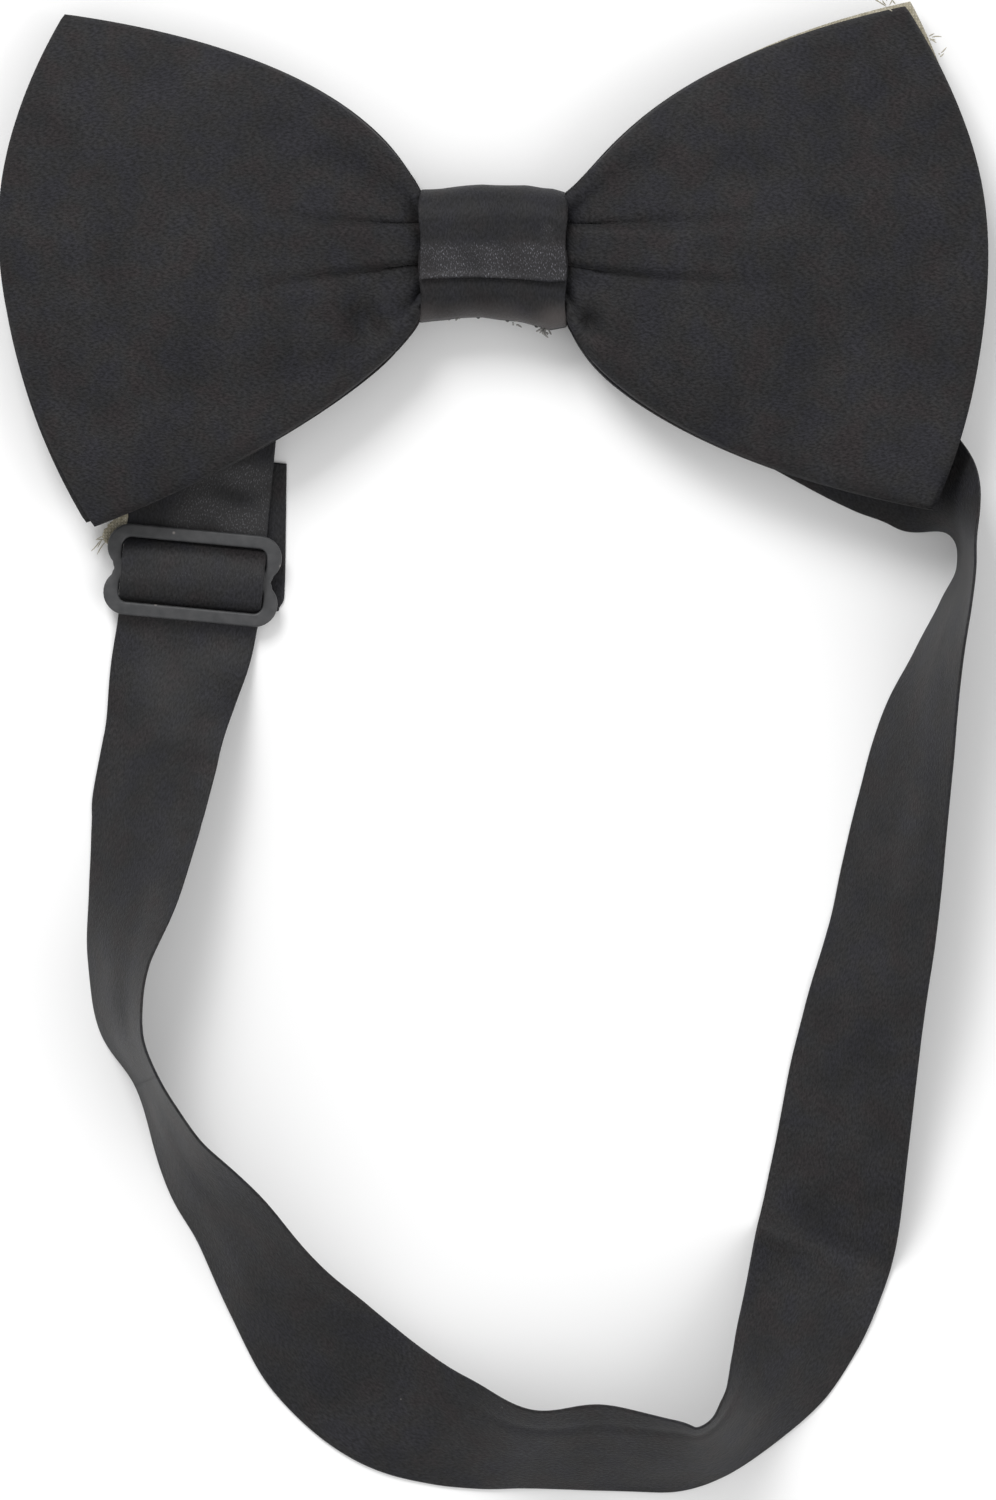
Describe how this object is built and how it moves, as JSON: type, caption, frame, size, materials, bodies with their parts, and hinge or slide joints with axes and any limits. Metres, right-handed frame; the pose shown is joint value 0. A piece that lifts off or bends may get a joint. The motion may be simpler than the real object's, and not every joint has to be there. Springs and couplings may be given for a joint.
{
  "type": "pre-tied bow tie",
  "caption": "Black satin bow tie, pre-tied, on an adjustable flat neck band with a slide and a hook-and-eye clasp, laid flat.",
  "frame": {"origin": "middle of the knot's flat back, which lies against the collar button", "axes": "+X along the bow, +Y up the bow's face, +Z out of the face; everything rests on Z = 0"},
  "size_m": [0.134, 0.2022, 0.019],
  "materials": {
    "bow_satin": "black satin, soft sheen",
    "knot_satin": "black satin, brighter sheen",
    "band_satin": "black satin tape",
    "canvas": "cream woven canvas",
    "wadding": "grey felted wadding",
    "thread": "black polyester thread",
    "coated_metal": "matte black coating"
  },
  "bodies": {
    "root": {"front_bow_face": "bow_satin", "front_bow_interlining": "canvas", "front_bow_backing": "bow_satin", "rear_bow_face": "bow_satin", "rear_bow_interlining": "canvas", "rear_bow_backing": "bow_satin", "knot_wrap": "knot_satin", "knot_padding": "wadding", "knot_stitch_1": "thread", "knot_stitch_2": "thread", "knot_stitch_3": "thread", "knot_stitch_4": "thread", "neck_band": "band_satin", "band_through_run": "band_satin", "band_return_run": "band_satin", "band_eye_fold": "band_satin", "eye_tack_lower": "thread", "eye_tack_upper": "thread", "clasp_eye": "coated_metal"},
    "slide": {"adjuster_slide": "coated_metal", "band_end_loop": "band_satin", "end_canvas_tongue": "canvas"},
    "hook": {"clasp_hook": "coated_metal", "band_hook_fold": "band_satin"}
  },
  "joints": [
    {"name": "slide_adjust", "type": "slide", "parent": "root", "child": "slide", "axis": [0.0941, 0.9956, 0], "range_m": [-0.012, 0.008], "deforming": ["band_through_run", "band_return_run"]},
    {"name": "clasp_release", "type": "slide", "parent": "root", "child": "hook", "axis": [0.0941, 0.9956, 0], "range_m": [0, 0.003], "deforming": ["band_through_run", "band_return_run"]}
  ]
}
